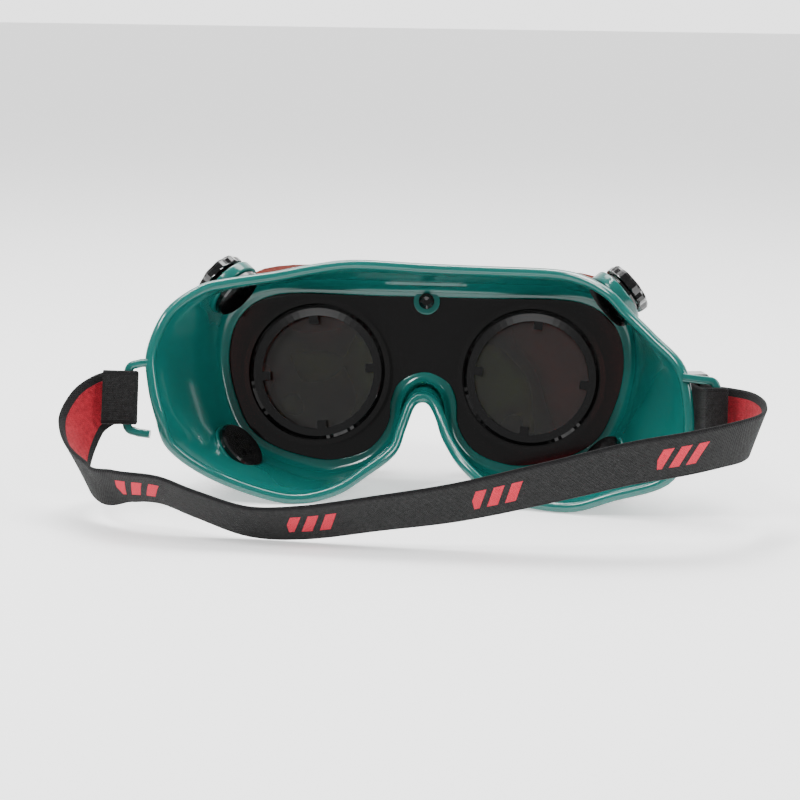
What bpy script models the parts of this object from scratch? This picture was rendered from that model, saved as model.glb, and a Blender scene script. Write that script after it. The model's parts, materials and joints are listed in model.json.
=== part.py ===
"""Welding goggles: soft PVC body, lens carrier, flip-up shade front, vents and head strap.

Metres, +Z up.  The goggles stand on their lower edge, leaning a little towards the front.
Inside LEAN the local frame is: X across the face, +Y towards the front, Z up, with the
origin midway between the two lens centres on the back of the front wall.
"""
import math

import bmesh
import bpy
from mathutils import Matrix, Vector

MM = 0.001

# ---------------------------------------------------------------- main dimensions (mm)
LEAN_DEG = 11.8
REST_SHIFT = (2.75, 42.85, 39.5)
LENS_X = 40.0
WALL = 2.0
FRONT_WALL = 2.0
LIP_R = 1.9
GAP = 0.3

# Half outlines, top centre to nose centre.  Opening edge and front corner (x, z).
OPENING = [(0, 29.4), (25, 29.4), (48, 29.6), (59, 28.2), (67, 24), (72, 17.5), (74, 9),
           (73.5, -1), (70.3, -12), (64.8, -22.2), (54, -28.9), (38, -32.6), (28.5, -31.6),
           (20.8, -28.6), (15.8, -23.6), (12.8, -17), (12.2, -9), (8.6, -1.7), (0, 1.2)]
CORNER = [(0, 35.5), (25, 35.5), (48, 35.5), (62, 34), (71.5, 29.5), (78, 21.5), (80.5, 10),
          (80, -1), (76.5, -14.5), (70, -26), (58, -34.3), (39, -39.8), (28, -39),
          (17.5, -34.5), (9.5, -26), (6.8, -18), (5.8, -11.5), (3.8, -6.8), (0, -4.8)]
# Face rim (x, z, y) for the right and the left half.
RIM_RIGHT = [(0, 40.3, -22), (25, 39.8, -23), (47, 39.2, -25), (58, 37.0, -28),
             (68, 31.6, -33), (75, 24.4, -36), (84, 15.4, -42), (94, 4.4, -49),
             (97.4, -12, -51), (96.5, -24, -50), (89.5, -37, -46), (71, -43.4, -43),
             (54, -48.1, -40), (31, -44.6, -35), (17, -35.0, -30), (9.0, -24.5, -22),
             (5.6, -16.5, -16), (2.8, -11.6, -13), (0, -10.5, -12)]
RIM_LEFT = [(0, 40.3, -22), (25, 41.0, -23), (40, 39.0, -24), (55, 35.4, -28),
            (70, 32.2, -35), (79.5, 29.0, -40), (90, 19.6, -47), (95.4, 5.0, -51),
            (94.6, -7, -52), (91.4, -19, -52), (86.8, -30.5, -49), (71, -41.0, -43),
            (46, -48.3, -40), (29, -45.4, -35), (17, -37.4, -30), (8.0, -29.5, -24),
            (5.0, -20.5, -19), (2.6, -12.6, -14), (0, -10.5, -12)]
BODY_STEPS = 2
PLATE_STEPS = 2

TAB_Z = 27.7
TAB_R = 5.0
SCREW_HOLE_R = 1.7

# Strap lug: two arms and a bar beside the rim.
LUG_Y = -50.0
LUG_Z = -12.2
LUG_BAR_X = 104.6
LUG_SLOT_H = 20.6
LUG_ARM = 3.0
LUG_ROOT_X = 93.5

# Vents: name, wall centre of the port (x, y, z) and how far its axis leans forward (deg).
VENTS = [("upper_right", 70.9, -17.0, 30.4, 10), ("upper_left", -72.4, -17.0, 30.8, 12),
         ("lower_right", 68.7, -17.0, -31.6, 21), ("lower_left", -68.7, -17.0, -31.6, 21)]
VENT_BOSS_R = 11.4
VENT_HOLE_R = 8.2
VENT_PORT_R = 10.2

CARRIER_Y0 = 2.3
CARRIER_Y1 = 5.0
CARRIER_GROW = 4.0
TUBE_R = 27.5
BORE_R = 25.6
LENS_R = 25.0

HINGE_Y = 6.2
HINGE_Z = 37.0
EAR_X = (42.0, 46.0)
KNUCKLE_X = (46.4, 52.0)
PIN_R = 1.3

FRAME_Y0 = 9.6
FRAME_Y1 = 12.0
FRAME_HALF = [(0, 41.4), (20, 41.4), (44, 41.3), (58, 40.4), (67, 37.6), (73, 31), (76, 21),
              (76, 8), (75, -4), (71.5, -16), (64, -26), (53, -32), (40, -34), (28, -32.5),
              (19, -28), (12.5, -20), (8, -11), (4, -6), (0, -4.5)]
CUP_R = 28.0
SHADE_Y = 14.4

# Head strap: centre line (x, y, z) and the strap's width direction, in the level frame.
STRAP_W = 19.0
STRAP_T = 1.4
LUG_UP = (0.0, 0.2, 0.98)
UPRIGHT = (0.0, 0.0, 1.0)
STRAP = [((-112.5, -57.4, -1.2), (0.05, 0.15, 0.99)), ((-109.0, -55.7, -0.9), LUG_UP),
         ((-104.6, -53.9, -1.2), LUG_UP), ((-102.0, -53.6, -1.25), LUG_UP),
         ((-101.1, -51.4, -1.7), LUG_UP), ((-102.2, -49.1, -2.2), LUG_UP),
         ((-106.0, -48.7, -2.3), LUG_UP), ((-112.5, -50.6, -3.2), (-0.1, 0.1, 0.98)),
         ((-119.5, -55.5, -7.0), (-0.3, 0.05, 0.95)),
         ((-122.6, -64.0, -14.0), (-0.5, -0.1, 0.86)),
         ((-118.0, -76.0, -20.5), (-0.3, -0.45, 0.84)),
         ((-107.5, -87.0, -24.6), (0.1, -0.68, 0.73)),
         ((-94.0, -94.2, -23.4), (0.15, -0.75, 0.65)),
         ((-80.5, -98.6, -23.4), (0.15, -0.76, 0.63)),
         ((-67.8, -101.6, -27.0), (0.14, -0.75, 0.65)),
         ((-50.0, -103.4, -31.8), (0.1, -0.7, 0.7)),
         ((-31.5, -104.6, -31.2), (0.05, -0.66, 0.75)),
         ((-7.7, -105.2, -27.2), (0.02, -0.64, 0.77)),
         ((19.6, -104.8, -22.4), (0.0, -0.58, 0.81)),
         ((50.5, -103.0, -14.8), (-0.02, -0.53, 0.85)),
         ((73.5, -99.8, -9.2), (-0.04, -0.5, 0.86)),
         ((93.0, -94.8, -6.2), (0.02, -0.48, 0.87)),
         ((108.0, -87.5, -4.4), (0.15, -0.42, 0.88)),
         ((117.6, -78.0, -3.6), (0.28, -0.25, 0.92)),
         ((120.0, -67.0, -2.6), (0.25, -0.05, 0.96)),
         ((117.6, -56.0, -2.2), (0.1, 0.04, 0.98)), ((111.2, -46.4, -2.6), UPRIGHT),
         ((103.6, -38.4, -3.0), UPRIGHT), ((100.4, -28.0, -3.0), UPRIGHT),
         ((97.8, -18.0, -3.0), UPRIGHT), ((96.9, -13.6, -3.0), UPRIGHT),
         ((94.6, -11.2, -3.0), UPRIGHT), ((92.2, -13.4, -3.0), UPRIGHT),
         ((92.6, -18.0, -3.0), UPRIGHT), ((95.2, -28.0, -3.0), UPRIGHT),
         ((97.8, -38.4, -3.0), UPRIGHT), ((99.9, -46.0, -2.8), LUG_UP),
         ((101.1, -51.4, -1.7), LUG_UP), ((102.1, -53.7, -1.25), LUG_UP),
         ((105.0, -54.1, -1.2), LUG_UP), ((107.8, -52.8, -1.4), LUG_UP),
         ((108.2, -49.6, -2.1), LUG_UP)]
STRAP_STEPS = 4
SLIDER_POS = (97.8, -28.0, -3.0)
SLIDER_DIR = (-0.25, 0.968)

MATERIALS = {
    "soft_pvc": ((0.012, 0.24, 0.20), 0.25, 0.0),
    "black_plastic": ((0.012, 0.012, 0.013), 0.22, 0.0),
    "smoked_plastic": ((0.10, 0.022, 0.018), 0.15, 0.0),
    "clear_glass": ((0.80, 0.83, 0.82), 0.04, 0.0),
    "shade_glass": ((0.020, 0.040, 0.012), 0.05, 0.0),
    "soft_rubber": ((0.02, 0.02, 0.02), 0.7, 0.0),
    "strap_fabric": ((0.028, 0.029, 0.030), 0.85, 0.0),
    "steel": ((0.55, 0.55, 0.56), 0.3, 1.0),
}


def clear_scene():
    for obj in list(bpy.data.objects):
        bpy.data.objects.remove(obj, do_unlink=True)
    for mesh in list(bpy.data.meshes):
        bpy.data.meshes.remove(mesh)


def make_materials():
    made = {}
    for name, (colour, rough, metal) in MATERIALS.items():
        mat = bpy.data.materials.new(name)
        mat.use_nodes = True
        shader = mat.node_tree.nodes["Principled BSDF"]
        shader.inputs["Base Color"].default_value = (*colour, 1.0)
        shader.inputs["Roughness"].default_value = rough
        shader.inputs["Metallic"].default_value = metal
        mat.diffuse_color = (*colour, 1.0)
        made[name] = mat
    return made


# ---------------------------------------------------------------- mesh helpers
def object_from(name, verts, faces, material=None, parent=None, smooth=True):
    mesh = bpy.data.meshes.new(name)
    mesh.from_pydata([Vector(v) for v in verts], [], faces)
    bm = bmesh.new()
    bm.from_mesh(mesh)
    bmesh.ops.remove_doubles(bm, verts=bm.verts, dist=1e-4)
    bmesh.ops.recalc_face_normals(bm, faces=bm.faces)
    bm.to_mesh(mesh)
    bm.free()
    for poly in mesh.polygons:
        poly.use_smooth = smooth
    if smooth:
        mesh.set_sharp_from_angle(angle=math.radians(38))
    obj = bpy.data.objects.new(name, mesh)
    bpy.context.scene.collection.objects.link(obj)
    if material:
        mesh.materials.append(material)
    if parent:
        obj.parent = parent
    return obj


def ring_faces(loops, count, closed):
    """Quads between consecutive loops; caps at both ends when the surface is not closed."""
    faces = []
    spans = loops if closed else loops - 1
    for i in range(spans):
        j = (i + 1) % loops
        for k in range(count):
            m = (k + 1) % count
            faces.append((i * count + k, i * count + m, j * count + m, j * count + k))
    if not closed:
        faces.append(tuple(range(count)))
        faces.append(tuple((loops - 1) * count + k for k in reversed(range(count))))
    return faces


def turned(name, profile, material, parent, steps=64, matrix=None, phase=0.0):
    """Closed (radius, y) profile turned round the Y axis; radius 0 points meet in a pole.

    phase turns the facets by a share of one step, so cutters never line up with a cap's facets.
    """
    verts = []
    for k in range(steps):
        a = 2 * math.pi * (k + phase) / steps
        for radius, y in profile:
            verts.append((radius * math.cos(a), y, radius * math.sin(a)))
    faces = []
    count = len(profile)
    for k in range(steps):
        m = (k + 1) % steps
        for i in range(count):
            j = (i + 1) % count
            if profile[i][0] == 0 and profile[j][0] == 0:
                continue
            quad = [k * count + i, m * count + i, m * count + j, k * count + j]
            if profile[i][0] == 0:
                quad.remove(m * count + i)
            if profile[j][0] == 0:
                quad.remove(m * count + j)
            faces.append(tuple(quad))
    if matrix:
        verts = [matrix @ Vector(v) for v in verts]
    return object_from(name, verts, faces, material, parent)


def box(name, lo, hi, material=None, parent=None, matrix=None):
    corners = [(x, y, z) for x in (lo[0], hi[0]) for y in (lo[1], hi[1]) for z in (lo[2], hi[2])]
    faces = [(0, 1, 3, 2), (4, 6, 7, 5), (0, 4, 5, 1), (2, 3, 7, 6), (0, 2, 6, 4), (1, 5, 7, 3)]
    if matrix:
        corners = [matrix @ Vector(c) for c in corners]
    return object_from(name, corners, faces, material, parent, smooth=False)


def rod(name, radius, start, end, parent=None, steps=32, material=None, phase=0.0):
    axis = Vector(end) - Vector(start)
    turn = axis.to_track_quat("Y", "Z").to_matrix().to_4x4()
    place = Matrix.Translation(Vector(start)) @ turn
    profile = [(0, 0), (radius, 0), (radius, axis.length), (0, axis.length)]
    return turned(name, profile, material, parent, steps, place, phase)


def combine(target, tool, operation):
    """Boolean kept on the target; the tool stays as a hidden wire object."""
    mod = target.modifiers.new(tool.name, "BOOLEAN")
    mod.operation = operation
    mod.solver = "EXACT"
    mod.object = tool
    tool.hide_render = True
    tool.display_type = "WIRE"
    tool.parent = target.parent
    return mod


def spline(points, steps):
    """Closed Catmull-Rom curve through points of any dimension."""
    out = []
    n = len(points)
    for i in range(n):
        p0, p1, p2, p3 = (Vector(points[(i + d) % n]) for d in (-1, 0, 1, 2))
        for k in range(steps):
            t = k / steps
            out.append(0.5 * ((2 * p1) + (p2 - p0) * t + (2 * p0 - 5 * p1 + 4 * p2 - p3) * t * t
                              + (3 * p1 - p0 - 3 * p2 + p3) * t ** 3))
    return out


def full_outline(right, left, steps):
    """Right half from the top centre down to the nose, then the left half back up."""
    mirrored = [(-p[0],) + tuple(p[1:]) for p in reversed(left[1:-1])]
    return spline(list(right) + mirrored, steps)


def offset(loop, distance):
    """Move a closed (x, z) loop outward by distance."""
    out = []
    n = len(loop)
    for i in range(n):
        tangent = Vector(loop[(i + 1) % n][:2]) - Vector(loop[i - 1][:2])
        normal = Vector((-tangent.y, tangent.x)).normalized()
        out.append((loop[i][0] + normal.x * distance, loop[i][1] + normal.y * distance))
    return out


def relaxed(loop, rounds):
    """Even out a closed loop's point spacing without changing its shape much."""
    points = [Vector(p) for p in loop]
    n = len(points)
    for _ in range(rounds):
        points = [points[i] * 0.5 + (points[i - 1] + points[(i + 1) % n]) * 0.25
                  for i in range(n)]
    return points


# ---------------------------------------------------------------- soft body
def wall_loop(corner, rim, t, inset):
    """One section of the side wall between the front corner (t=0) and the rim (t=1)."""
    ease = t ** 1.45
    loop = []
    depths = []
    for c, r in zip(corner, rim):
        loop.append((c[0] + (r[0] - c[0]) * ease, c[1] + (r[1] - c[1]) * ease))
        depths.append(FRONT_WALL * (1 - t) + (r[2] + 2 * LIP_R) * t)
    return offset(loop, -inset), depths


def body_shell(materials, parent):
    opening = full_outline(OPENING, OPENING, BODY_STEPS)
    corner = full_outline(CORNER, CORNER, BODY_STEPS)
    rim = full_outline(RIM_RIGHT, RIM_LEFT, BODY_STEPS)
    count = len(opening)
    loops = []

    def add(loop, depths):
        loops.append([(p[0], y, p[1]) for p, y in zip(loop, depths)])

    add([tuple(p) for p in opening], [0.0] * count)
    add([tuple(p) for p in opening], [FRONT_WALL] * count)
    add(offset(corner, -1.2), [FRONT_WALL] * count)
    add(offset(corner, -0.3), [FRONT_WALL - 0.4] * count)
    add(corner, [FRONT_WALL - 1.4] * count)
    for t in (0.15, 0.35, 0.55, 0.75, 0.92):
        loop, depths = wall_loop(corner, rim, t, LIP_R * t ** 3)
        add(loop, depths)
    tops, lows = wall_loop(corner, rim, 1.0, 0.0)
    for angle in range(-60, 241, 60):
        a = math.radians(angle)
        out = LIP_R * (math.cos(a) - 1)
        back = LIP_R * math.sin(a)
        add(offset(tops, out), [y - LIP_R - back for y in lows])
    for t in (0.92, 0.72, 0.5, 0.3):
        loop, depths = wall_loop(corner, rim, t, LIP_R * t ** 3 + WALL)
        add(loop, depths)
    add(offset(corner, -WALL), [-0.6] * count)
    add(offset(corner, -WALL - 1.0), [0.0] * count)
    verts = [v for loop in loops for v in loop]
    return object_from("goggle_body", verts, ring_faces(len(loops), count, True),
                       materials["soft_pvc"], parent)


def lug_tools(side, parent):
    """Two arms and the outer bar of one strap lug, as one closed frame."""
    outer = LUG_SLOT_H / 2 + LUG_ARM
    lo_x = LUG_ROOT_X
    hi_x = LUG_BAR_X + 1.4
    frame = box("lug_%d" % side, (min(side * lo_x, side * hi_x), LUG_Y - 1.3, LUG_Z - outer),
                (max(side * lo_x, side * hi_x), LUG_Y + 1.3, LUG_Z + outer), parent=parent)
    bevel = frame.modifiers.new("round", "BEVEL")
    bevel.width = 1.1
    bevel.segments = 2
    slot_hi = LUG_BAR_X - 1.3
    slot = box("lug_slot_%d" % side, (min(side * 90, side * slot_hi), LUG_Y - 5,
                                      LUG_Z - LUG_SLOT_H / 2),
               (max(side * 90, side * slot_hi), LUG_Y + 5, LUG_Z + LUG_SLOT_H / 2), parent=parent)
    combine(frame, slot, "DIFFERENCE")
    return frame


def vent_matrix(x, y, z, tilt_deg):
    """Local +Y of a vent points outward through the wall."""
    tilt = math.radians(tilt_deg)
    flat = Vector((x, 0, z)).normalized()
    diagonal = Vector((math.copysign(0.7071, x), 0, math.copysign(0.7071, z)))
    axis = (diagonal * 0.8 + flat * 0.2).normalized() * math.cos(tilt)
    axis += Vector((0, math.sin(tilt), 0))
    turn = axis.to_track_quat("Y", "Z").to_matrix().to_4x4()
    return Matrix.Translation(Vector((x, y, z))) @ turn


def make_body(materials, parent):
    body = body_shell(materials, parent)
    for side in (-1, 1):
        combine(body, lug_tools(side, parent), "UNION")
    for name, *spot in VENTS:
        place = vent_matrix(*spot)
        port = turned("port_" + name, [(0, -9), (VENT_PORT_R, -9), (VENT_PORT_R, 9), (0, 9)], None,
                      parent, 32, place, 0.5)
        combine(body, port, "DIFFERENCE")
        collar = turned("collar_" + name, [(VENT_HOLE_R, -3.6), (VENT_BOSS_R, -3.6),
                                           (VENT_BOSS_R, 2.2), (VENT_HOLE_R, 2.2)], None, parent,
                        32, place)
        combine(body, collar, "UNION")
    tab = rod("tab", TAB_R, (0, 0, TAB_Z), (0, FRONT_WALL, TAB_Z), parent)
    combine(body, tab, "UNION")
    hole = rod("tab_hole", SCREW_HOLE_R, (0, -4, TAB_Z), (0, 6, TAB_Z), parent, 24, None, 0.4)
    combine(body, hole, "DIFFERENCE")
    return body


# ---------------------------------------------------------------- lens carrier
def plate(name, half, grow, y0, y1, material, parent):
    outline = full_outline(half, half, PLATE_STEPS)
    if grow:
        outline = relaxed(offset(outline, grow), 2)
    count = len(outline)
    verts = [(p[0], y, p[1]) for y in (y0, y1) for p in outline]
    return object_from(name, verts, ring_faces(2, count, False), material, parent)


def make_carrier(materials, parent):
    carrier = plate("lens_carrier", OPENING, CARRIER_GROW, CARRIER_Y0, CARRIER_Y1,
                    materials["black_plastic"], parent)
    for side in (-1, 1):
        place = Matrix.Translation((side * LENS_X, 0, 0))
        tube = turned("tube_%d" % side, [(0, -5.0), (TUBE_R, -5.0), (TUBE_R, 6.2), (0, 6.2)],
                      None, parent, 56, place)
        combine(carrier, tube, "UNION")
        bore = turned("bore_%d" % side, [(0, -9), (BORE_R, -9), (BORE_R, 4.0), (22.6, 4.0),
                                         (22.6, 9), (0, 9)], None, parent, 56, place, 0.5)
        combine(carrier, bore, "DIFFERENCE")
        ear = hinge_block("ear_%d" % side, side, EAR_X, (CARRIER_Y0 + 0.4, HINGE_Y + 2.8),
                          28.0, parent)
        combine(carrier, ear, "UNION")
        drill = rod("ear_hole_%d" % side, PIN_R + GAP, (side * 38, HINGE_Y, HINGE_Z),
                    (side * 56, HINGE_Y, HINGE_Z), parent)
        combine(carrier, drill, "DIFFERENCE")
    screw_bore = rod("carrier_screw_hole", SCREW_HOLE_R, (0, 0, TAB_Z), (0, 9, TAB_Z), parent, 24, None, 0.4)
    combine(carrier, screw_bore, "DIFFERENCE")
    return carrier


def hinge_block(name, side, span, depth, low, parent):
    """Upright block with a rounded top round the hinge axis."""
    radius = 2.8
    profile = [(depth[0], low), (depth[1], low)]
    for k in range(9):
        a = math.pi * k / 8
        profile.append((HINGE_Y + radius * math.cos(a), HINGE_Z + radius * math.sin(a)))
    profile.append((min(depth[0], HINGE_Y - radius), HINGE_Z - 1.2))
    xs = sorted((side * span[0], side * span[1]))
    count = len(profile)
    verts = [(x, p[0], p[1]) for x in xs for p in profile]
    return object_from(name, verts, ring_faces(2, count, False), None, parent, smooth=False)


def make_retaining_ring(name, side, materials, parent):
    pivot = bpy.data.objects.new("axis_" + name, None)
    bpy.context.scene.collection.objects.link(pivot)
    pivot.parent = parent
    pivot.location = (side * LENS_X, 0, 0)
    profile = [(21.2, -3.4), (24.0, -3.8), (25.2, -3.2), (25.2, 0.4), (21.6, 0.4), (21.2, 0.0)]
    ring = turned(name, profile, materials["black_plastic"], pivot, 56)
    for k in range(4):
        a = math.radians(90 * k + 6 * side)
        turn = Matrix.Rotation(a, 4, "Y")
        lug = box("%s_lug_%d" % (name, k), (18.2, -3.2, -1.6), (23.0, 0.0, 1.6), parent=pivot,
                  matrix=turn)
        combine(ring, lug, "UNION")
    return ring


def make_lens_set(side, label, materials, parent):
    place = Matrix.Translation((side * LENS_X, 0, 0))
    turned("clear_lens_" + label, [(0, 1.8), (LENS_R, 1.8), (LENS_R, 3.7), (0, 3.7)],
           materials["clear_glass"], parent, 56, place)
    turned("lens_gasket_" + label, [(22.8, 0.7), (LENS_R, 0.7), (LENS_R, 1.5), (22.8, 1.5)],
           materials["soft_rubber"], parent, 48, place)
    make_retaining_ring("retaining_ring_" + label, side, materials, parent)


# ---------------------------------------------------------------- flip-up front
def make_flip_front(materials, parent):
    pivot = bpy.data.objects.new("axis_flip", None)
    bpy.context.scene.collection.objects.link(pivot)
    pivot.parent = parent
    pivot.location = (0, HINGE_Y, HINGE_Z)
    inner = bpy.data.objects.new("flip_frame_origin", None)
    bpy.context.scene.collection.objects.link(inner)
    inner.parent = pivot
    inner.location = (0, -HINGE_Y, -HINGE_Z)
    frame = plate("flip_frame", FRAME_HALF, 0, FRAME_Y0, FRAME_Y1, materials["smoked_plastic"],
                  inner)
    for side in (-1, 1):
        place = Matrix.Translation((side * LENS_X, 0, 0))
        cup = turned("cup_%d" % side, [(0, 8.6), (CUP_R, 8.6), (CUP_R, 18.4), (0, 18.4)], None,
                     inner, 56, place)
        combine(frame, cup, "UNION")
        bore = turned("cup_bore_%d" % side, [(0, 6), (22.6, 6), (22.6, 14.0), (BORE_R, 14.0),
                                             (BORE_R, 22), (0, 22)], None, inner, 56, place, 0.5)
        combine(frame, bore, "DIFFERENCE")
        knuckle = hinge_block("knuckle_%d" % side, side, KNUCKLE_X, (HINGE_Y - 2.8, FRAME_Y1 - 0.5),
                              HINGE_Z - 2.0, inner)
        combine(frame, knuckle, "UNION")
        drill = rod("knuckle_hole_%d" % side, PIN_R + GAP, (side * 38, HINGE_Y, HINGE_Z),
                    (side * 56, HINGE_Y, HINGE_Z), inner)
        combine(frame, drill, "DIFFERENCE")
    for side, label in ((-1, "left"), (1, "right")):
        place = Matrix.Translation((side * LENS_X, 0, 0))
        turned("shade_lens_" + label, [(0, SHADE_Y), (LENS_R, SHADE_Y), (LENS_R, SHADE_Y + 3.0),
                                       (0, SHADE_Y + 3.0)], materials["shade_glass"], inner, 56,
               place)
        make_shade_ring("shade_ring_" + label, side, materials, inner)


def make_shade_ring(name, side, materials, parent):
    """Cap ring round the cup: a fluted skirt and a front lip that holds the shade lens."""
    pivot = bpy.data.objects.new("axis_" + name, None)
    bpy.context.scene.collection.objects.link(pivot)
    pivot.parent = parent
    pivot.location = (side * LENS_X, 0, 0)
    profile = [(23.0, 18.8), (CUP_R + GAP, 18.8), (CUP_R + GAP, 13.2), (30.2, 13.2),
               (30.2, 19.6), (29.4, 20.6), (23.0, 20.6)]
    ring = turned(name, profile, materials["black_plastic"], pivot, 56)
    return ring


def make_hinge_pin(side, label, materials, parent):
    xs = sorted((side * 41.2, side * 53.2))
    pin = rod("hinge_pin_" + label, PIN_R, (xs[0], HINGE_Y, HINGE_Z), (xs[1], HINGE_Y, HINGE_Z),
              parent, 32, materials["steel"])
    return pin


def make_screw(materials, parent):
    profile = [(0, -1.7), (1.7, -2.0), (2.9, -1.1), (2.9, -0.35), (1.35, -0.35), (1.35, 5.6),
               (0, 5.6)]
    place = Matrix.Translation((0, 0, TAB_Z))
    screw = turned("centre_screw", profile, materials["steel"], parent, 32, place)
    slot = box("screw_slot", (-3.2, -3, TAB_Z - 0.35), (3.2, -1.5, TAB_Z + 0.35), parent=parent)
    combine(screw, slot, "DIFFERENCE")
    return screw


# ---------------------------------------------------------------- vents
def make_vent(name, spot, materials, parent):
    place = vent_matrix(*spot)
    seat_profile = [(0, -6.0), (9.2, -6.0), (9.9, -5.4), (9.9, -3.95), (7.9, -3.95),
                    (7.9, 2.2), (6.4, 2.2), (6.4, -4.5), (0, -4.5)]
    seat = turned("vent_seat_" + name, seat_profile, materials["black_plastic"], parent, 32,
                  place)
    for k in range(6):
        a = math.radians(60 * k)
        turn = place @ Matrix.Translation((3.9 * math.cos(a), 0, 3.9 * math.sin(a)))
        hole = turned("port_%s_%d" % (name, k), [(0, -8), (0.8, -8), (0.8, -3), (0, -3)], None,
                      parent, 8, turn, 0.3)
        combine(seat, hole, "DIFFERENCE")
    pivot = bpy.data.objects.new("axis_vent_" + name, None)
    bpy.context.scene.collection.objects.link(pivot)
    pivot.parent = parent
    pivot.matrix_local = Matrix.Translation(place.to_translation()) @ \
        place.to_3x3().to_4x4()
    cap = fluted_cap("vent_cap_" + name, materials["black_plastic"], pivot)
    return cap


def fluted_cap(name, material, parent):
    """Solid-topped cap over the port: ten flutes round the edge, a dished top."""
    steps = 40
    rows = [(9.5, 2.6, 0.0), (9.9, 3.0, 1.0), (9.9, 5.2, 1.0), (9.2, 6.2, 0.6),
            (7.6, 6.6, 0.0), (6.8, 6.0, 0.0), (0.0, 5.9, 0.0)]
    under = [(0.0, 3.7, 0.0), (7.9, 3.7, 0.0), (8.2, 2.6, 0.0)]
    verts = []
    faces = []
    loops = rows[:-1] + under[1:]
    for radius, y, flute in loops:
        for k in range(steps):
            a = 2 * math.pi * k / steps
            r = radius - flute * 0.45 * (1 - math.cos(10 * a))
            verts.append((r * math.cos(a), y, r * math.sin(a)))
    count = len(loops)
    top = len(verts)
    verts.append((0, rows[-1][1], 0))
    bottom = len(verts)
    verts.append((0, under[0][1], 0))
    for i in range(count):
        j = (i + 1) % count
        if (i, j) == (5, 6):
            continue
        for k in range(steps):
            m = (k + 1) % steps
            faces.append((i * steps + k, i * steps + m, j * steps + m, j * steps + k))
    for k in range(steps):
        m = (k + 1) % steps
        faces.append((5 * steps + k, 5 * steps + m, top))
        faces.append((6 * steps + m, 6 * steps + k, bottom))
    return object_from(name, verts, faces, material, parent)


# ---------------------------------------------------------------- head strap
def open_spline(points, steps):
    out = []
    n = len(points)
    for i in range(n - 1):
        p0, p1, p2, p3 = (Vector(points[min(max(i + d, 0), n - 1)]) for d in (-1, 0, 1, 2))
        for k in range(steps):
            t = k / steps
            out.append(0.5 * ((2 * p1) + (p2 - p0) * t + (2 * p0 - 5 * p1 + 4 * p2 - p3) * t * t
                              + (3 * p1 - p0 - 3 * p2 + p3) * t ** 3))
    out.append(Vector(points[-1]))
    return out


def make_strap(materials, parent):
    centres = open_spline([row[0] for row in STRAP], STRAP_STEPS)
    widths = open_spline([row[1] for row in STRAP], STRAP_STEPS)
    half_w = STRAP_W / 2
    half_t = STRAP_T / 2
    section = [(-half_w, -half_t), (half_w, -half_t), (half_w, half_t), (-half_w, half_t)]
    verts = []
    n = len(centres)
    for i, centre in enumerate(centres):
        tangent = (centres[min(i + 1, n - 1)] - centres[max(i - 1, 0)]).normalized()
        up = widths[i] - tangent * widths[i].dot(tangent)
        up.normalize()
        side = tangent.cross(up)
        for w, t in section:
            verts.append(centre + up * w + side * t)
    return object_from("headband", verts, ring_faces(n, len(section), False),
                       materials["strap_fabric"], parent)


def make_slider(materials, parent):
    """Two-slot slide holding the strap's two parallel legs beside the right flank."""
    along = Vector((SLIDER_DIR[0], SLIDER_DIR[1], 0)).normalized()
    up = Vector(UPRIGHT)
    across = along.cross(up)
    turn = Matrix((across, along, up)).transposed().to_4x4()
    pivot = bpy.data.objects.new("axis_slider", None)
    bpy.context.scene.collection.objects.link(pivot)
    pivot.parent = parent
    pivot.matrix_local = Matrix.Translation(Vector(SLIDER_POS)) @ turn
    slider = box("strap_slider", (-4.9, -4.0, -11.8), (4.9, 4.0, 11.8),
                 materials["black_plastic"], pivot)
    bevel = slider.modifiers.new("round", "BEVEL")
    bevel.width = 0.8
    bevel.segments = 2
    for side in (-1, 1):
        slot = box("slider_slot_%d" % side, (side * 2.52 - 1.15, -6, -9.9),
                   (side * 2.52 + 1.15, 6, 9.9), parent=pivot)
        combine(slider, slot, "DIFFERENCE")
    return slider


def settle_to_metres():
    """Apply every modifier, drop the cutters and turn millimetres into metres."""
    bpy.context.view_layer.update()
    graph = bpy.context.evaluated_depsgraph_get()
    shrink = Matrix.Scale(MM, 4)
    cutters = [o for o in bpy.data.objects if o.type == "MESH" and o.hide_render]
    pieces = [o for o in bpy.data.objects if o.type == "MESH" and not o.hide_render]
    meshes = [bpy.data.meshes.new_from_object(o.evaluated_get(graph)) for o in pieces]
    for piece, mesh in zip(pieces, meshes):
        piece.modifiers.clear()
        mesh.name = piece.name
        mesh.transform(shrink)
        piece.data = mesh
    for cutter in cutters:
        bpy.data.objects.remove(cutter, do_unlink=True)
    for obj in bpy.data.objects:
        obj.location = obj.location * MM


def build():
    clear_scene()
    materials = make_materials()
    level = bpy.data.objects.new("level", None)
    bpy.context.scene.collection.objects.link(level)
    level.location = Vector(REST_SHIFT)
    lean = bpy.data.objects.new("lean", None)
    bpy.context.scene.collection.objects.link(lean)
    lean.parent = level
    lean.rotation_euler = (-math.radians(LEAN_DEG), 0, 0)
    make_body(materials, lean)
    make_carrier(materials, lean)
    for side, label in ((-1, "left"), (1, "right")):
        make_lens_set(side, label, materials, lean)
        make_hinge_pin(side, label, materials, lean)
    make_flip_front(materials, lean)
    make_screw(materials, lean)
    for name, *spot in VENTS:
        make_vent(name, spot, materials, lean)
    make_strap(materials, level)
    make_slider(materials, level)
    settle_to_metres()


build()
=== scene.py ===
import json
import math

import bmesh
import bpy
from mathutils import Matrix, Vector


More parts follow.
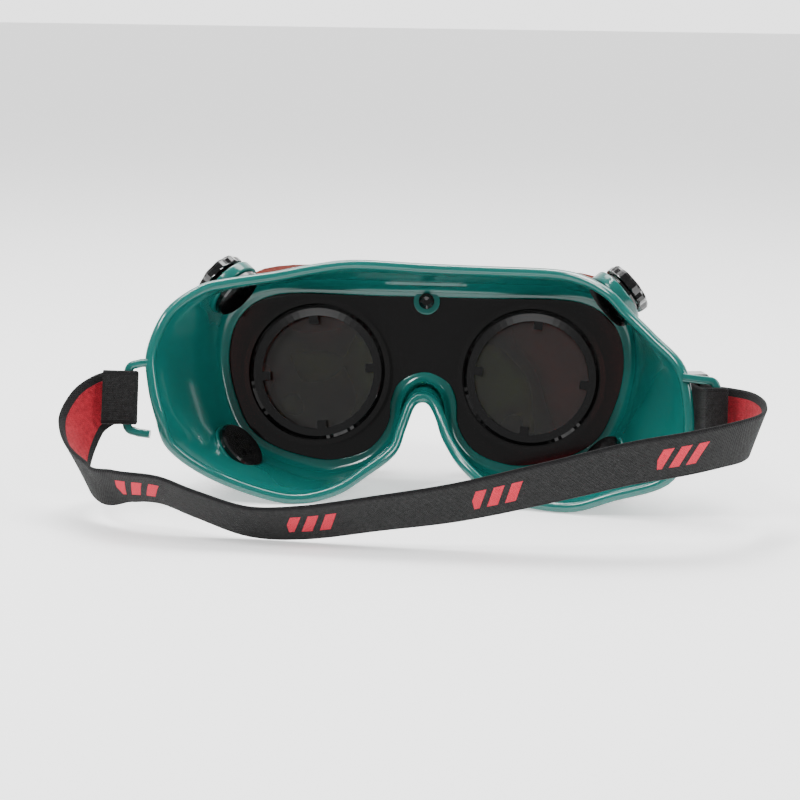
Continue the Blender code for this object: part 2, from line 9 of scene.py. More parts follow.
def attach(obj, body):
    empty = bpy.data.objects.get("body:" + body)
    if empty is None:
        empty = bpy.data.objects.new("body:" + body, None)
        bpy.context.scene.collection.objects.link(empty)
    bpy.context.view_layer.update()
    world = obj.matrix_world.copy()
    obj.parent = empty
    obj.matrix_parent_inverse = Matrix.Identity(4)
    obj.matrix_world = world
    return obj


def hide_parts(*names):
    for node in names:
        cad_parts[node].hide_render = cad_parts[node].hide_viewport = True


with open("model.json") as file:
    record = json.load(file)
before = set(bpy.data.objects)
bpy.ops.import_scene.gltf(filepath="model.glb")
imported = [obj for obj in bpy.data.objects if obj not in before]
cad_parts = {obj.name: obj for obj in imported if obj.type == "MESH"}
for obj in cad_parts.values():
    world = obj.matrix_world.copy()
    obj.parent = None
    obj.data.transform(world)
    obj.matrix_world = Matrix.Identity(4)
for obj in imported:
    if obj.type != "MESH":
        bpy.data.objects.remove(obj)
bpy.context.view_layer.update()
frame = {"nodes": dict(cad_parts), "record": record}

# ---------------------------------------------------------------- main dimensions (mm)
MM = 0.001
LEAN = math.radians(11.8)
SHIFT = Vector((2.75, 42.85, 39.5))
WALL = 2.0
LIP_R = 1.9

OPENING = [(0, 29.4), (25, 29.4), (48, 29.6), (59, 28.2), (67, 24), (72, 17.5), (74, 9),
           (73.5, -1), (70.3, -12), (64.8, -22.2), (54, -28.9), (38, -32.6), (28.5, -31.6),
           (20.8, -28.6), (15.8, -23.6), (12.8, -17), (12.2, -9), (8.6, -2.2), (0, 1.2)]
CORNER = [(0, 35.5), (25, 35.5), (48, 35.5), (62, 34), (71.5, 29.5), (78, 21.5), (80.5, 10),
          (80, -1), (76.5, -14.5), (70, -26), (58, -34.3), (39, -39.8), (28, -39),
          (17.5, -34.5), (9.5, -26), (6.8, -18), (5.8, -11.5), (3.8, -6.8), (0, -4.8)]
RIM_RIGHT = [(0, 40.3, -22), (25, 39.8, -23), (47, 39.2, -25), (58, 37.0, -28),
             (68, 31.6, -33), (75, 24.4, -36), (84, 15.4, -42), (94, 4.4, -49),
             (97.4, -12, -51), (96.5, -24, -50), (89.5, -37, -46), (71, -43.4, -43),
             (54, -48.1, -40), (31, -44.6, -35), (17, -35.0, -30), (9.0, -24.5, -22),
             (5.6, -16.5, -16), (2.8, -11.6, -13), (0, -10.5, -12)]
RIM_LEFT = [(0, 40.3, -22), (25, 41.0, -23), (40, 39.0, -24), (55, 35.4, -28),
            (70, 32.2, -35), (79.5, 29.0, -40), (90, 19.6, -47), (95.4, 5.0, -51),
            (94.6, -7, -52), (91.4, -19, -52), (86.8, -30.5, -49), (71, -41.0, -43),
            (46, -48.3, -40), (29, -45.4, -35), (17, -37.4, -30), (8.0, -29.5, -24),
            (5.0, -20.5, -19), (2.6, -12.6, -14), (0, -10.5, -12)]

VENTS = [("upper_right", 70.9, -17.0, 30.4, 10), ("upper_left", -72.4, -17.0, 30.8, 12),
         ("lower_right", 68.7, -17.0, -31.6, 21), ("lower_left", -68.7, -17.0, -31.6, 21)]
VENT_HOLE_R = 8.2
VENT_COLLAR_R = 11.0
VENT_COLLAR_IN = -3.6
VENT_COLLAR_OUT = 0.6

LUG_Y = -50.0
LUG_ROOT_X = 93.0
LUG_BAR_X = {1: 104.65, -1: 101.4}
LUG_TOP_Z = -0.4
LUG_LOW_Z = -24.0
LUG_CORNER_R = 2.6
LUG_HALF = (1.45, 1.5)
TAB_Z = 27.7

STRAP_W = 19.0
STRAP_T = 1.4
MOTIF_PITCH = 61.5
MOTIF_START = 37.3
MOTIF_LENGTH = 18.0
MOTIF_HALF_H = 4.2
STITCH_HALF = 8.1
RED_HALF = 6.6
KNIT_ROWS = 1.6
KNIT_LOOPS = 1.25
LUG_UP = (0.0, 0.2, 0.98)
UPRIGHT = (0.0, 0.0, 1.0)
STRAP = [((-109.8, -54.5, -1.1), LUG_UP), ((-107.4, -54.6, -1.1), LUG_UP),
         ((-103.6, -54.1, -1.2), LUG_UP), ((-99.6, -53.4, -1.3), LUG_UP),
         ((-98.5, -51.2, -1.7), LUG_UP), ((-99.8, -49.2, -2.2), LUG_UP),
         ((-104.6, -48.6, -2.3), LUG_UP), ((-110.0, -50.4, -3.0), (-0.1, 0.1, 0.98)),
         ((-115.2, -55.5, -7.0), (-0.3, 0.05, 0.95)),
         ((-117.0, -64.0, -14.0), (-0.5, -0.1, 0.86)),
         ((-113.6, -76.0, -20.5), (-0.3, -0.45, 0.84)),
         ((-104.8, -87.0, -24.6), (0.1, -0.68, 0.73)),
         ((-94.0, -94.2, -23.4), (0.15, -0.75, 0.65)),
         ((-80.5, -98.6, -23.4), (0.15, -0.76, 0.63)),
         ((-67.8, -101.6, -27.0), (0.14, -0.75, 0.65)),
         ((-50.0, -103.4, -31.8), (0.1, -0.7, 0.7)),
         ((-31.5, -104.6, -31.2), (0.05, -0.66, 0.75)),
         ((-7.7, -105.2, -27.2), (0.02, -0.64, 0.77)),
         ((19.6, -104.8, -22.4), (0.0, -0.58, 0.81)),
         ((50.5, -103.0, -14.8), (-0.02, -0.53, 0.85)),
         ((73.5, -99.8, -9.2), (-0.04, -0.5, 0.86)),
         ((93.0, -94.8, -6.2), (0.02, -0.48, 0.87)),
         ((106.4, -87.5, -4.4), (0.15, -0.42, 0.88)),
         ((115.0, -78.0, -3.6), (0.28, -0.25, 0.92)),
         ((117.4, -67.0, -2.6), (0.25, -0.05, 0.96)),
         ((116.0, -56.0, -2.2), (0.1, 0.04, 0.98)), ((111.2, -46.4, -2.6), UPRIGHT),
         ((103.6, -38.4, -3.0), UPRIGHT), ((100.4, -28.0, -3.0), UPRIGHT),
         ((97.8, -18.0, -3.0), UPRIGHT), ((96.9, -13.6, -3.0), UPRIGHT),
         ((94.6, -11.2, -3.0), UPRIGHT), ((92.2, -13.4, -3.0), UPRIGHT),
         ((92.6, -18.0, -3.0), UPRIGHT), ((95.2, -28.0, -3.0), UPRIGHT),
         ((97.8, -38.4, -3.0), UPRIGHT), ((99.9, -46.0, -2.8), LUG_UP),
         ((101.1, -51.4, -1.7), LUG_UP), ((102.1, -53.7, -1.25), LUG_UP),
         ((105.0, -54.1, -1.2), LUG_UP), ((107.8, -52.8, -1.4), LUG_UP),
         ((108.2, -49.6, -2.1), LUG_UP)]

WORLD_DIM = 0.32
WORLD_BRIGHT = 2.6

CAMERA_AZIMUTH = 4.7
CAMERA_ELEVATION = 11.0
CAMERA_ROLL = 0.8
CAMERA_AWAY = 750.0
CAMERA_ASIDE = 9.0
CAMERA_UNDER = 9.4
CAMERA_LENS = 90.1

LEVEL = Matrix.Translation(SHIFT)
TILTED = LEVEL @ Matrix.Rotation(-LEAN, 4, "X")


# ---------------------------------------------------------------- shader helpers
class Graph:
    """Short-hand for building one material's node graph."""

    def __init__(self, name):
        self.material = bpy.data.materials.new(name)
        self.material.use_nodes = True
        self.tree = self.material.node_tree
        self.shader = self.tree.nodes["Principled BSDF"]

    def node(self, kind, **settings):
        made = self.tree.nodes.new(kind)
        for key, value in settings.items():
            setattr(made, key, value)
        return made

    def link(self, source, target):
        if isinstance(source, (int, float)):
            target.default_value = source
        else:
            self.tree.links.new(source, target)

    def math(self, operation, *values):
        made = self.node("ShaderNodeMath", operation=operation)
        for slot, value in zip(made.inputs, values):
            self.link(value, slot)
        return made.outputs[0]

    def set(self, **values):
        for key, value in values.items():
            self.shader.inputs[key.replace("_", " ")].default_value = value

    def coords(self, kind="Object"):
        return self.node("ShaderNodeTexCoord").outputs[kind]

    def noise(self, scale, detail=3.0, rough=0.5, vector=None):
        made = self.node("ShaderNodeTexNoise")
        made.inputs["Scale"].default_value = scale
        made.inputs["Detail"].default_value = detail
        made.inputs["Roughness"].default_value = rough
        self.link(vector if vector else self.coords(), made.inputs["Vector"])
        return made.outputs["Fac"]

    def ramp(self, factor, *stops):
        made = self.node("ShaderNodeValToRGB")
        line = made.color_ramp.elements
        while len(line) < len(stops):
            line.new(0.5)
        for element, (place, colour) in zip(line, stops):
            element.position = place
            element.color = (*colour, 1.0)
        self.link(factor, made.inputs["Fac"])
        return made.outputs["Color"]

    def mix(self, factor, first, second):
        made = self.node("ShaderNodeMix", data_type="RGBA")
        self.link(factor, made.inputs["Factor"])
        for socket, value in ((made.inputs["A"], first), (made.inputs["B"], second)):
            if isinstance(value, tuple):
                socket.default_value = (*value, 1.0)
            else:
                self.link(value, socket)
        return made.outputs["Result"]

    def bump(self, height, strength, distance):
        made = self.node("ShaderNodeBump")
        made.inputs["Strength"].default_value = strength
        made.inputs["Distance"].default_value = distance
        self.link(height, made.inputs["Height"])
        self.link(made.outputs["Normal"], self.shader.inputs["Normal"])

    def colour(self, source):
        self.link(source, self.shader.inputs["Base Color"])

    def rough(self, factor, low, high):
        made = self.node("ShaderNodeMapRange")
        self.link(factor, made.inputs["Value"])
        made.inputs["To Min"].default_value = low
        made.inputs["To Max"].default_value = high
        self.link(made.outputs["Result"], self.shader.inputs["Roughness"])


def soft_pvc():
    g = Graph("teal_soft_pvc")
    cloud = g.noise(22.0, 3.0)
    g.colour(g.ramp(cloud, (0.3, (0.0022, 0.098, 0.085)), (0.7, (0.0030, 0.120, 0.103))))
    g.rough(g.noise(140.0, 4.0), 0.15, 0.22)
    g.bump(g.noise(60.0, 1.0), 0.05, 0.0006)
    g.set(Coat_Weight=0.3, Coat_Roughness=0.06, Subsurface_Weight=0.1, Subsurface_Scale=0.003)
    return g.material


def black_gloss():
    g = Graph("black_gloss_plastic")
    g.colour(g.ramp(g.noise(35.0), (0.3, (0.0018, 0.0018, 0.0020)), (0.7, (0.0036, 0.0036, 0.0038))))
    g.rough(g.noise(180.0, 4.0), 0.08, 0.15)
    g.bump(g.noise(45.0, 2.0), 0.04, 0.0005)
    g.set(Coat_Weight=0.4, Coat_Roughness=0.05)
    return g.material


def carrier_black():
    """Black gloss that turns to a painted dark red-brown light toward the two outer ends; this is not
    the plastic's own colour.
    """
    g = Graph("carrier_plastic_painted_red_light")
    parts = g.node("ShaderNodeSeparateXYZ")
    g.link(g.coords(), parts.inputs[0])
    reach = g.math("ABSOLUTE", g.math("SUBTRACT", parts.outputs[0], SHIFT.x * MM))
    wave = g.math("MULTIPLY", g.noise(40.0, 2.0), 0.006)
    # painted red-brown light: black turns to dark red-brown from about 62 to 76 mm out from the centre
    g.colour(g.ramp(g.math("MULTIPLY", g.math("ADD", reach, wave), 10.0),
                    (0.62, (0.0022, 0.0020, 0.0021)), (0.76, (0.022, 0.0035, 0.003))))
    g.rough(g.noise(180.0, 4.0), 0.07, 0.14)
    g.bump(g.noise(45.0, 2.0), 0.04, 0.0005)
    g.set(Coat_Weight=0.2, Coat_Roughness=0.05)
    return g.material


def smoked_plastic():
    g = Graph("smoked_red_brown_plastic")
    g.colour(g.ramp(g.noise(25.0), (0.3, (0.20, 0.045, 0.035)), (0.7, (0.26, 0.07, 0.055))))
    g.rough(g.noise(120.0), 0.08, 0.2)
    g.set(Transmission_Weight=0.72, IOR=1.49)
    return g.material


def clear_glass():
    g = Graph("clear_lens_glass")
    g.colour(g.ramp(g.noise(60.0), (0.3, (0.93, 0.95, 0.94)), (0.7, (0.97, 0.98, 0.97))))
    g.rough(g.noise(220.0, 5.0), 0.0, 0.03)
    g.set(Transmission_Weight=1.0, IOR=1.5)
    return g.material


def shade_glass():
    """Dark filter glass, red-brown with an olive cast toward the middle; the red-brown and olive
    mottling is painted reflection over the glass's own dark tint.
    """
    g = Graph("dark_shade_glass")
    reflection_mottle = g.noise(26.0, 1.0)
    # painted reflection: noise mottling between red-brown, near-black and olive
    g.colour(g.ramp(reflection_mottle, (0.36, (0.055, 0.009, 0.006)), (0.52, (0.014, 0.005, 0.003)),
                    (0.64, (0.034, 0.040, 0.009))))
    g.rough(g.noise(220.0, 4.0), 0.02, 0.06)
    g.set(Transmission_Weight=0.05, IOR=1.45)
    return g.material


def gasket_rubber():
    g = Graph("gasket_rubber")
    g.colour(g.ramp(g.noise(160.0), (0.3, (0.012, 0.012, 0.012)), (0.7, (0.02, 0.02, 0.02))))
    g.rough(g.noise(200.0), 0.55, 0.75)
    return g.material


def satin_steel():
    g = Graph("satin_steel")
    g.colour(g.ramp(g.noise(400.0, 5.0), (0.3, (0.42, 0.42, 0.43)), (0.7, (0.62, 0.62, 0.63))))
    g.rough(g.noise(700.0, 4.0), 0.22, 0.4)
    g.set(Metallic=1.0)
    return g.material


def weave(g, along, across):
    """Fine ribbed knit: rows of small loops, one row offset against the next."""
    row = g.math("FLOOR", g.math("MULTIPLY", across, KNIT_ROWS))
    shifted = g.math("ADD", g.math("MULTIPLY", along, KNIT_LOOPS), g.math("MULTIPLY", row, 0.5))
    loops = g.math("SINE", g.math("MULTIPLY", shifted, 2 * math.pi))
    ribs = g.math("SINE", g.math("MULTIPLY", across, KNIT_ROWS * 2 * math.pi))
    return g.math("ADD", g.math("MULTIPLY", loops, 0.5), g.math("MULTIPLY", ribs, 0.5))


def strap_coords(g):
    """Strap lengthwise and crosswise position in millimetres."""
    spot = g.node("ShaderNodeUVMap", uv_map="cloth").outputs["UV"]
    parts = g.node("ShaderNodeSeparateXYZ")
    g.link(spot, parts.inputs[0])
    return (g.math("MULTIPLY", parts.outputs[0], 1000.0),
            g.math("MULTIPLY", parts.outputs[1], 1000.0))


def between(g, value, low, high):
    return g.math("MULTIPLY", g.math("GREATER_THAN", value, low), g.math("LESS_THAN", value, high))


def strap_outside():
    """Charcoal elastic with a stitch line and a repeated plain motif of slanted bars."""
    g = Graph("strap_charcoal_elastic")
    along, across = strap_coords(g)
    knit = weave(g, along, across)
    grain = g.ramp(g.noise(900.0, 4.0), (0.3, (0.006, 0.0062, 0.0062)), (0.75, (0.018, 0.0185, 0.0185)))
    edge = g.math("GREATER_THAN", g.math("ABSOLUTE", across), STITCH_HALF)
    base = g.mix(edge, grain, (0.006, 0.006, 0.0065))
    local = g.math("MODULO", g.math("ADD", along, MOTIF_START), MOTIF_PITCH)
    slant = g.math("ADD", local, g.math("MULTIPLY", across, -0.45))
    bars = g.math("LESS_THAN", g.math("MODULO", g.math("ADD", slant, 60.0), 6.0), 3.6)
    window = g.math("MULTIPLY", between(g, slant, 0.0, MOTIF_LENGTH),
                    between(g, across, -MOTIF_HALF_H, MOTIF_HALF_H))
    bars = g.math("MULTIPLY", bars, window)
    g.colour(g.mix(bars, base, (0.58, 0.022, 0.048)))
    g.rough(g.noise(500.0), 0.75, 0.95)
    g.bump(knit, 0.55, 0.00035)
    g.set(Sheen_Weight=0.04, Sheen_Roughness=0.5, Specular_IOR_Level=0.2)
    return g.material


def strap_inside():
    """Red inner face between black borders."""
    g = Graph("strap_red_lining")
    along, across = strap_coords(g)
    knit = weave(g, along, across)
    red = g.ramp(g.noise(700.0, 4.0), (0.3, (0.24, 0.009, 0.017)), (0.75, (0.42, 0.017, 0.031)))
    border = g.math("GREATER_THAN", g.math("ABSOLUTE", across), RED_HALF)
    g.colour(g.mix(border, red, (0.008, 0.008, 0.0085)))
    g.rough(g.noise(500.0), 0.75, 0.95)
    g.bump(knit, 0.5, 0.0003)
    g.set(Sheen_Weight=0.04, Sheen_Roughness=0.5, Specular_IOR_Level=0.2)
    return g.material


# ---------------------------------------------------------------- mesh helpers
def object_from(name, verts, faces, materials, place, sharp=40):
    mesh = bpy.data.meshes.new(name)
    mesh.from_pydata([(place @ Vector(v)) * MM for v in verts], [], faces)
    bm = bmesh.new()
    bm.from_mesh(mesh)
    bmesh.ops.remove_doubles(bm, verts=bm.verts, dist=1e-7)
    bmesh.ops.recalc_face_normals(bm, faces=bm.faces)
    bm.to_mesh(mesh)
    bm.free()
    for poly in mesh.polygons:
        poly.use_smooth = True
    mesh.set_sharp_from_angle(angle=math.radians(sharp))
    for material in materials:
        mesh.materials.append(material)
    obj = bpy.data.objects.new(name, mesh)
    bpy.context.scene.collection.objects.link(obj)
    return obj


def joined(name, pieces, body, slot, *nodes):
    """One object from several closed pieces, riding on a body and standing for CAD nodes."""
    first = pieces[0]
    with bpy.context.temp_override(active_object=first, selected_editable_objects=pieces):
        bpy.ops.object.join()
    first.name = name
    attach(first, body)
    if nodes:
        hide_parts(*nodes)
    return first


def ring_faces(loops, count, closed):
    faces = []
    for i in range(loops if closed else loops - 1):
        j = (i + 1) % loops
        for k in range(count):
            m = (k + 1) % count
            faces.append((i * count + k, i * count + m, j * count + m, j * count + k))
    if not closed:
        faces.append(tuple(range(count)))
        faces.append(tuple((loops - 1) * count + k for k in reversed(range(count))))
    return faces


def spline(points, steps, closed=True):
    out = []
    n = len(points)
    last = n if closed else n - 1
    for i in range(last):
        picks = [(i + d) % n if closed else min(max(i + d, 0), n - 1) for d in (-1, 0, 1, 2)]
        p0, p1, p2, p3 = (Vector(points[q]) for q in picks)
        for k in range(steps):
            t = k / steps
            out.append(0.5 * ((2 * p1) + (p2 - p0) * t + (2 * p0 - 5 * p1 + 4 * p2 - p3) * t * t
                              + (3 * p1 - p0 - 3 * p2 + p3) * t ** 3))
    if not closed:
        out.append(Vector(points[-1]))
    return out


def full_outline(right, left, steps=6):
    mirrored = [(-p[0],) + tuple(p[1:]) for p in reversed(left[1:-1])]
    return spline(list(right) + mirrored, steps)


def offset(loop, distance):
    out = []
    n = len(loop)
    for i in range(n):
        tangent = Vector(loop[(i + 1) % n][:2]) - Vector(loop[i - 1][:2])
        normal = Vector((-tangent.y, tangent.x)).normalized()
        out.append((loop[i][0] + normal.x * distance, loop[i][1] + normal.y * distance))
    return out


def turned(name, profile, material, place, steps):
    """Closed (radius, y) profile turned round Y."""
    verts = []
    for k in range(steps):
        a = 2 * math.pi * k / steps
        for radius, y in profile:
            verts.append((radius * math.cos(a), y, radius * math.sin(a)))
    faces = []
    count = len(profile)
    for k in range(steps):
        m = (k + 1) % steps
        for i in range(count):
            j = (i + 1) % count
            if profile[i][0] == 0 and profile[j][0] == 0:
                continue
            quad = [k * count + i, m * count + i, m * count + j, k * count + j]
            if profile[i][0] == 0:
                quad.remove(m * count + i)
            if profile[j][0] == 0:
                quad.remove(m * count + j)
            faces.append(tuple(quad))
    return object_from(name, verts, faces, [material], place)


def rounded(points, radius, segments=4):
    """A closed profile with each corner replaced by a small arc."""
    out = []
    n = len(points)
    for i in range(n):
        prev, here, after = (Vector(points[(i + d) % n]) for d in (-1, 0, 1))
        back = (prev - here)
        ahead = (after - here)
        cut = min(radius, back.length * 0.45, ahead.length * 0.45)
        a = here + back.normalized() * cut
        b = here + ahead.normalized() * cut
        for k in range(segments + 1):
            t = k / segments
            out.append(tuple(a * (1 - t) ** 2 + here * 2 * t * (1 - t) + b * t * t))
    return out


def swept_tube(name, path, half_a, half_b, material, place):
    """Rounded bar along an open path of (x, y, z); half_a is across Y, half_b across the path."""
    section = []
    for k in range(16):
        a = 2 * math.pi * k / 16
        c, s = math.cos(a), math.sin(a)
        section.append((half_a * math.copysign(abs(c) ** 0.6, c),
                        half_b * math.copysign(abs(s) ** 0.6, s)))
    verts = []
    n = len(path)
    for i, point in enumerate(path):
        ahead = Vector(path[min(i + 1, n - 1)]) - Vector(path[max(i - 1, 0)])
        ahead.normalize()
        side = Vector((0, 1, 0))
        other = ahead.cross(side).normalized()
        for u, v in section:
            verts.append(Vector(point) + side * u + other * v)
    return object_from(name, verts, ring_faces(n, len(section), False), [material], place)


# ---------------------------------------------------------------- soft body
def wall_loop(corner, rim, t, inset):
    ease = t ** 1.45
    loop = []
    depths = []
    for c, r in zip(corner, rim):
        loop.append((c[0] + (r[0] - c[0]) * ease, c[1] + (r[1] - c[1]) * ease))
        depths.append(2.0 * (1 - t) + (r[2] + 2 * LIP_R) * t)
    return offset(loop, -inset), depths


def body_shell(material):
    opening = [tuple(p) for p in full_outline(OPENING, OPENING)]
    corner = full_outline(CORNER, CORNER)
    rim = full_outline(RIM_RIGHT, RIM_LEFT)
    count = len(opening)
    loops = []

    def add(loop, depths):
        if isinstance(depths, float):
            depths = [depths] * count
        loops.append([(p[0], y, p[1]) for p, y in zip(loop, depths)])

    for inset, depth in ((0.5, 0.0), (0.15, 0.15), (0.0, 0.5), (0.0, 1.5), (0.15, 1.85),
                         (0.5, 2.0)):
        add(offset(opening, inset), depth)
    for inset, depth in ((2.4, 2.0), (1.5, 1.85), (0.75, 1.45), (0.2, 0.8)):
        add(offset(corner, -inset), depth)
    for k in range(1, 16):
        t = 0.92 * k / 15
        loop, depths = wall_loop(corner, rim, t, LIP_R * t ** 3)
        add(loop, depths)
    tops, lows = wall_loop(corner, rim, 1.0, 0.0)
    for angle in range(-60, 241, 20):
        a = math.radians(angle)
        out = LIP_R * (math.cos(a) - 1)
        back = LIP_R * math.sin(a)
        add(offset(tops, out), [y - LIP_R - back for y in lows])
    for k in range(15, 4, -1):
        t = 0.92 * k / 15
        loop, depths = wall_loop(corner, rim, t, LIP_R * t ** 3 + WALL)
        add(loop, depths)
    add(offset(corner, -WALL - 0.1), -4.0)
    add(offset(corner, -WALL - 0.35), -2.4)
    add(offset(corner, -WALL - 1.0), -1.2)
    add(offset(corner, -WALL - 2.1), -0.35)
    add(offset(corner, -WALL - 3.1), 0.0)
    verts = [v for loop in loops for v in loop]
    return object_from("shell", verts, ring_faces(len(loops), count, True), [material], TILTED, 60)


def lug(side, material):
    """Strap lug: two arms that grow out of the rim and an outer bar, closer in on the left."""
    x0, x1 = LUG_ROOT_X, LUG_BAR_X[side]
    top, low = LUG_TOP_Z, LUG_LOW_Z
    corner = LUG_CORNER_R
    path = [(x0, LUG_Y, top + 0.9), (x0 + 4, LUG_Y, top + 0.5)]
    for k in range(7):
        a = math.radians(90 - 15 * k)
        path.append((x1 - corner + corner * math.cos(a), LUG_Y,
                     top - corner + corner * math.sin(a)))
    for k in range(1, 6):
        path.append((x1, LUG_Y, top - corner + (low - top + 2 * corner) * k / 6))
    for k in range(7):
        a = math.radians(-15 * k)
        path.append((x1 - corner + corner * math.cos(a), LUG_Y,
                     low + corner + corner * math.sin(a)))
    path += [(x0 + 4, LUG_Y, low - 0.5), (x0, LUG_Y, low - 0.9)]
    path = [(side * x, y, z) for x, y, z in path]
    return swept_tube("lug", path, *LUG_HALF, material, TILTED)


def vent_matrix(x, y, z, tilt_deg):
    tilt = math.radians(tilt_deg)
    flat = Vector((x, 0, z)).normalized()
    diagonal = Vector((math.copysign(0.7071, x), 0, math.copysign(0.7071, z)))
    axis = (diagonal * 0.8 + flat * 0.2).normalized() * math.cos(tilt)
    axis += Vector((0, math.sin(tilt), 0))
    turn = axis.to_track_quat("Y", "Z").to_matrix().to_4x4()
    return TILTED @ Matrix.Translation(Vector((x, y, z))) @ turn


def make_body(material):
    pieces = [body_shell(material)]
    for side in (-1, 1):
        pieces.append(lug(side, material))
    for name, *spot in VENTS:
        profile = rounded([(VENT_HOLE_R, VENT_COLLAR_IN), (VENT_COLLAR_R, VENT_COLLAR_IN),
                           (VENT_COLLAR_R, VENT_COLLAR_OUT), (VENT_HOLE_R, VENT_COLLAR_OUT)], 0.7)
        pieces.append(turned("collar", profile, material, vent_matrix(*spot), 64))
    tab = rounded([(1.8, 0.0), (5.0, 0.0), (5.0, 2.0), (1.8, 2.0)], 0.5)
    pieces.append(turned("tab", tab, material,
                         TILTED @ Matrix.Translation((0, -0.02, TAB_Z)), 48))
    return joined("soft_body", pieces, "goggles", "body_pvc", "goggle_body")


# ---------------------------------------------------------------- head strap
def make_strap(outside, inside):
    """One length of webbing with soft edges and its own lengthwise coordinates.

    Its side loops lie up to about 5 mm inside the CAD strap.
    """
    centres = spline([row[0] for row in STRAP], 12, False)
    widths = spline([row[1] for row in STRAP], 12, False)
    half_w = STRAP_W / 2
    half_t = STRAP_T / 2 - 0.05
    inner = RED_HALF / 2
    across = [-half_w + half_t, -STITCH_HALF, -RED_HALF, -inner, 0.0, inner, RED_HALF,
              STITCH_HALF, half_w - half_t]
    section = [(w, -half_t) for w in across] + [(half_w - 0.2, -half_t * 0.6), (half_w, 0.0),
                                                (half_w - 0.2, half_t * 0.6)]
    section += [(w, half_t) for w in reversed(across)]
    section += [(-half_w + 0.2, half_t * 0.6), (-half_w, 0.0), (-half_w + 0.2, -half_t * 0.6)]
    count = len(section)
    verts = []
    lengths = []
    run = 0.0
    n = len(centres)
    for i, centre in enumerate(centres):
        if i:
            run += (centre - centres[i - 1]).length
        lengths.append(run)
        tangent = (centres[min(i + 1, n - 1)] - centres[max(i - 1, 0)]).normalized()
        up = widths[i] - tangent * widths[i].dot(tangent)
        up.normalize()
        side = tangent.cross(up)
        for w, t in section:
            verts.append(centre + up * w + side * t)
    mesh = bpy.data.meshes.new("strap")
    mesh.from_pydata([(LEVEL @ Vector(v)) * MM for v in verts], [], ring_faces(n, count, False))
    for material in (outside, inside):
        mesh.materials.append(material)
    cloth = mesh.uv_layers.new(name="cloth")
    for poly in mesh.polygons:
        poly.use_smooth = True
        if len(poly.vertices) != 4:
            continue
        columns = {v % count for v in poly.vertices}
        poly.material_index = 1 if max(columns) <= 8 else 0
        for corner in poly.loop_indices:
            row, column = divmod(mesh.loops[corner].vertex_index, count)
            cloth.data[corner].uv = (lengths[row] * MM, section[column][0] * MM)
    bm = bmesh.new()
    bm.from_mesh(mesh)
    bmesh.ops.recalc_face_normals(bm, faces=bm.faces)
    bm.to_mesh(mesh)
    bm.free()
    strap = bpy.data.objects.new("strap", mesh)
    bpy.context.scene.collection.objects.link(strap)
    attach(strap, "goggles")
    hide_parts("headband")
    return strap


# ---------------------------------------------------------------- finish the CAD pieces
def dress_nodes(black, carrier, smoked, clear, shade, rubber, steel):
    looks = {"black_plastic": black, "smoked_plastic": smoked, "clear_glass": clear,
             "shade_glass": shade, "gasket_rubber": rubber, "hinge_steel": steel}
    slots = {row["node"]: row["material_slot"] for row in frame["record"]["subparts"]}
    for name, node in frame["nodes"].items():
        look = black if name == "centre_screw" else looks.get(slots[name])
        look = carrier if name == "lens_carrier" else look
        if look is None:
            continue
        node.data.materials.clear()
        node.data.materials.append(look)
        if slots[name] in ("black_plastic", "smoked_plastic"):
            bevel = node.modifiers.new("edge", "BEVEL")
            bevel.width = 0.00028
            bevel.segments = 2
            bevel.limit_method = "ANGLE"
            bevel.angle_limit = math.radians(35)
            bevel.harden_normals = True


# ---------------------------------------------------------------- stage, light and camera
def make_stage():
    g = Graph("pale_floor")
    g.colour(g.ramp(g.noise(3.0), (0.3, (0.90, 0.90, 0.90)), (0.7, (0.92, 0.92, 0.92))))
    g.rough(g.noise(8.0), 0.6, 0.7)
    g.set(Emission_Color=(1.0, 1.0, 1.0, 1.0), Emission_Strength=0.7)
    mesh = bpy.data.meshes.new("floor")
    mesh.from_pydata([(-20, -20, 0), (20, -20, 0), (20, 20, 0), (-20, 20, 0)], [], [(0, 1, 2, 3)])
    mesh.materials.append(g.material)
    floor = bpy.data.objects.new("floor", mesh)
    bpy.context.scene.collection.objects.link(floor)


def softbox(name, spot, aim, size, power, colour=(1.0, 1.0, 1.0)):
    data = bpy.data.lights.new(name, "AREA")
    data.shape = "RECTANGLE"
    data.size, data.size_y = size
    data.energy = power
    data.color = colour
    lamp = bpy.data.objects.new(name, data)
    lamp.location = spot
    lamp.rotation_euler = (Vector(aim) - Vector(spot)).to_track_quat("-Z", "Y").to_euler()
    bpy.context.scene.collection.objects.link(lamp)


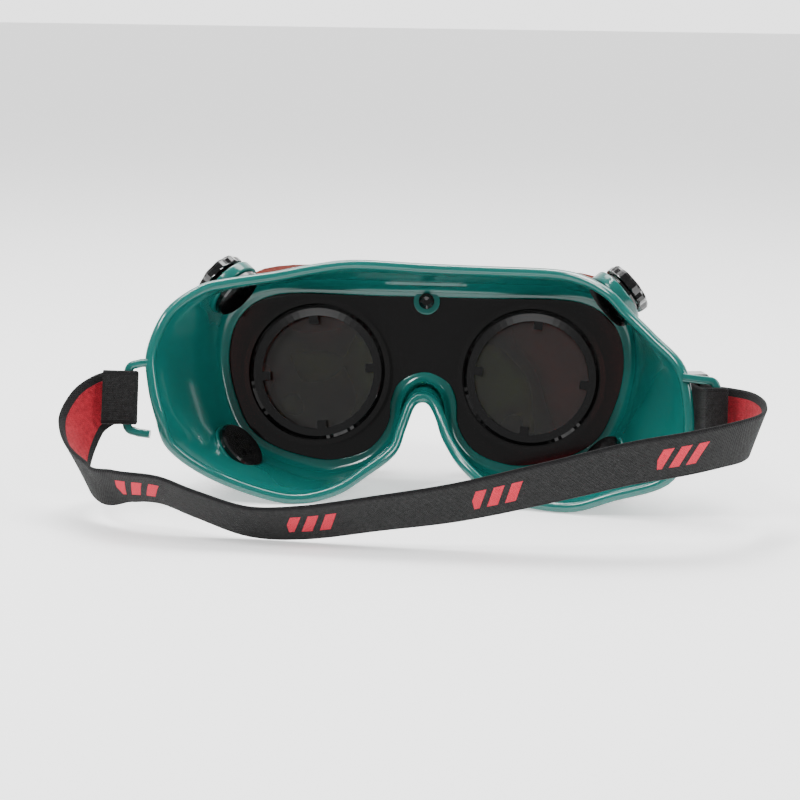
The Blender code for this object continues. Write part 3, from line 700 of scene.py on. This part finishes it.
def make_light():
    world = bpy.data.worlds.new("studio")
    bpy.context.scene.world = world
    world.use_nodes = True
    tree = world.node_tree
    sky = tree.nodes["Background"]
    spot = tree.nodes.new("ShaderNodeTexCoord")
    split = tree.nodes.new("ShaderNodeSeparateXYZ")
    fade = tree.nodes.new("ShaderNodeMapRange")
    fade.inputs["From Min"].default_value = 0.0
    fade.inputs["From Max"].default_value = 0.9
    fade.inputs["To Min"].default_value = WORLD_DIM
    fade.inputs["To Max"].default_value = WORLD_BRIGHT
    tree.links.new(spot.outputs["Generated"], split.inputs[0])
    tree.links.new(split.outputs["Y"], fade.inputs["Value"])
    tree.links.new(fade.outputs["Result"], sky.inputs["Strength"])
    sky.inputs["Color"].default_value = (1.0, 1.0, 1.0, 1.0)
    softbox("key", (-0.55, -0.45, 0.95), (0, 0, 0.03), (0.4, 0.25), 9.0)
    softbox("fill", (0.8, -0.35, 0.6), (0, 0, 0.03), (0.25, 0.5), 5.0)
    softbox("top", (0.0, 0.35, 1.1), (0, 0, 0.03), (0.9, 0.5), 14.0)
    softbox("strip", (-0.1, 0.05, 1.0), (0, 0, 0.03), (0.7, 0.05), 5.0)


def make_camera():
    azimuth, elevation, roll = (math.radians(angle) for angle in
                                (CAMERA_AZIMUTH, CAMERA_ELEVATION, CAMERA_ROLL))
    ahead = Vector((-math.sin(azimuth) * math.cos(elevation),
                    math.cos(azimuth) * math.cos(elevation), -math.sin(elevation)))
    right = Vector((math.cos(azimuth), math.sin(azimuth), 0))
    up = right.cross(ahead)
    spot = SHIFT - CAMERA_ASIDE * right - CAMERA_UNDER * up - CAMERA_AWAY * ahead
    turned_right = right * math.cos(roll) + up * math.sin(roll)
    turned_up = up * math.cos(roll) - right * math.sin(roll)
    pose = Matrix((turned_right, turned_up, -ahead)).transposed().to_4x4()
    data = bpy.data.cameras.new("camera")
    data.lens = CAMERA_LENS
    data.sensor_width = 36.0
    camera = bpy.data.objects.new("camera", data)
    camera.matrix_world = Matrix.Translation(spot * MM) @ pose
    bpy.context.scene.collection.objects.link(camera)
    bpy.context.scene.camera = camera


def build():
    make_camera()
    make_stage()
    make_light()
    make_body(soft_pvc())
    make_strap(strap_outside(), strap_inside())
    dress_nodes(black_gloss(), carrier_black(), smoked_plastic(), clear_glass(), shade_glass(),
                gasket_rubber(), satin_steel())


build()
